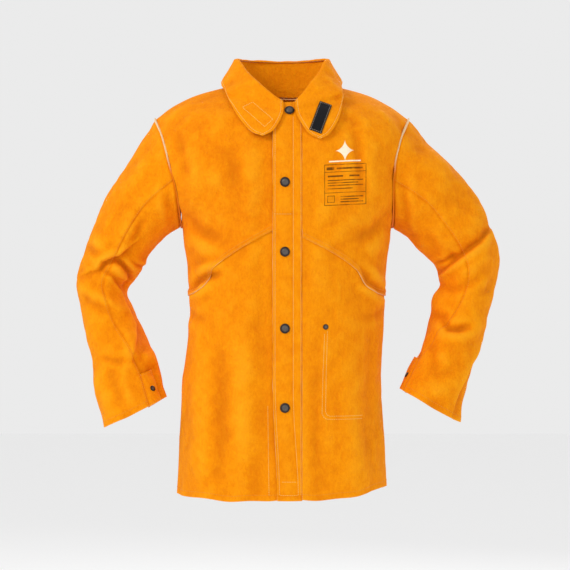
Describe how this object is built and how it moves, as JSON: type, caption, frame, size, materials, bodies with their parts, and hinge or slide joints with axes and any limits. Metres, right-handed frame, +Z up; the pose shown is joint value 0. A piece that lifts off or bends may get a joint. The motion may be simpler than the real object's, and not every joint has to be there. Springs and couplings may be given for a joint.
{
  "type": "leather welding jacket",
  "caption": "Split-leather welding jacket with set-in sleeves, a covered snap-fastened front, a turned-down collar with hook-and-loop closing, slanted chest seams and snap cuffs.",
  "frame": {"origin": "on the trunk's axis, level with the hem", "axes": "+Z up from the hem to the collar, -Y out of the front, +X towards the wearer's left"},
  "size_m": [0.6888, 0.245, 0.7102],
  "materials": {
    "suede": "napped golden-orange split cowhide",
    "raw_edge": "raw cut edge of the hide, pale tan",
    "gunmetal": "gunmetal-plated press snaps and rivet",
    "loop_tape": "black woven hook-and-loop tape"
  },
  "bodies": {
    "jacket_body": {"armhole_welt_left": "raw_edge", "armhole_welt_right": "raw_edge", "back_left_upper": "suede", "back_lower": "suede", "back_right_upper": "suede", "collar_leaf": "suede", "collar_stand": "suede", "front_left_lower": "suede", "front_left_upper": "suede", "front_right_lower": "suede", "front_right_upper": "suede", "inside_pocket": "suede", "placket_upper": "suede", "pocket_rivet_burr": "gunmetal", "pocket_rivet_cap": "gunmetal", "right_front_edge": "suede", "sleeve_left_elbow": "suede", "sleeve_left_upper_top": "suede", "sleeve_left_upper_under": "suede", "sleeve_right_elbow": "suede", "sleeve_right_upper_top": "suede", "sleeve_right_upper_under": "suede", "snap_1_post": "gunmetal", "snap_1_stud": "gunmetal", "snap_2_post": "gunmetal", "snap_2_stud": "gunmetal", "snap_3_post": "gunmetal", "snap_3_stud": "gunmetal", "snap_4_post": "gunmetal", "snap_4_stud": "gunmetal", "snap_5_cap": "gunmetal", "snap_5_post": "gunmetal", "snap_5_socket": "gunmetal", "snap_5_stud": "gunmetal"},
    "placket_flap": {"placket_lower": "suede", "snap_1_cap": "gunmetal", "snap_1_socket": "gunmetal", "snap_2_cap": "gunmetal", "snap_2_socket": "gunmetal", "snap_3_cap": "gunmetal", "snap_3_socket": "gunmetal", "snap_4_cap": "gunmetal", "snap_4_socket": "gunmetal"},
    "collar_wing_right": {"collar_wing_right": "suede", "hook_patch": "loop_tape"},
    "collar_wing_left": {"collar_wing_left": "suede", "loop_patch": "loop_tape"},
    "forearm_right": {"sleeve_right_forearm_top": "suede", "sleeve_right_forearm_under": "suede", "sleeve_right_cuff_snap_stud": "gunmetal"},
    "cuff_flap_right": {"sleeve_right_cuff_flap": "suede", "sleeve_right_cuff_snap_cap": "gunmetal", "sleeve_right_cuff_snap_socket": "gunmetal"},
    "forearm_left": {"sleeve_left_forearm_top": "suede", "sleeve_left_forearm_under": "suede", "sleeve_left_cuff_snap_stud": "gunmetal"},
    "cuff_flap_left": {"sleeve_left_cuff_flap": "suede", "sleeve_left_cuff_snap_cap": "gunmetal", "sleeve_left_cuff_snap_socket": "gunmetal"}
  },
  "joints": [
    {"name": "placket_fold", "type": "hinge", "parent": "jacket_body", "child": "placket_flap", "pos_m": [0.03215, -0.12894, 0.3], "axis": [0, 0, 1], "range_deg": [0, 65]},
    {"name": "collar_crease_right", "type": "hinge", "parent": "jacket_body", "child": "collar_wing_right", "pos_m": [0.0025, -0.11, 0.618], "axis": [-0.9275, 0.2694, 0.2591], "range_deg": [0, 80]},
    {"name": "collar_crease_left", "type": "hinge", "parent": "jacket_body", "child": "collar_wing_left", "pos_m": [0.0215, -0.113, 0.618], "axis": [-0.8966, -0.3249, -0.3009], "range_deg": [0, 80]},
    {"name": "elbow_right", "type": "hinge", "parent": "jacket_body", "child": "forearm_right", "pos_m": [-0.29496, 0.01499, 0.33798], "axis": [-0.377, -0.9146, 0.1462], "range_deg": [-35, 6], "deforming": ["sleeve_right_elbow"]},
    {"name": "cuff_fold_right", "type": "hinge", "parent": "forearm_right", "child": "cuff_flap_right", "pos_m": [-0.2173, -0.07424, 0.17144], "axis": [0.2858, -0.3334, -0.8984], "range_deg": [0, 100]},
    {"name": "elbow_left", "type": "hinge", "parent": "jacket_body", "child": "forearm_left", "pos_m": [0.30796, 0.01499, 0.35799], "axis": [-0.3289, 0.9339, -0.1403], "range_deg": [-35, 6], "deforming": ["sleeve_left_elbow"]},
    {"name": "cuff_fold_left", "type": "hinge", "parent": "forearm_left", "child": "cuff_flap_left", "pos_m": [0.20681, -0.05217, 0.19476], "axis": [0.4551, 0.3191, 0.8313], "range_deg": [0, 100]}
  ]
}
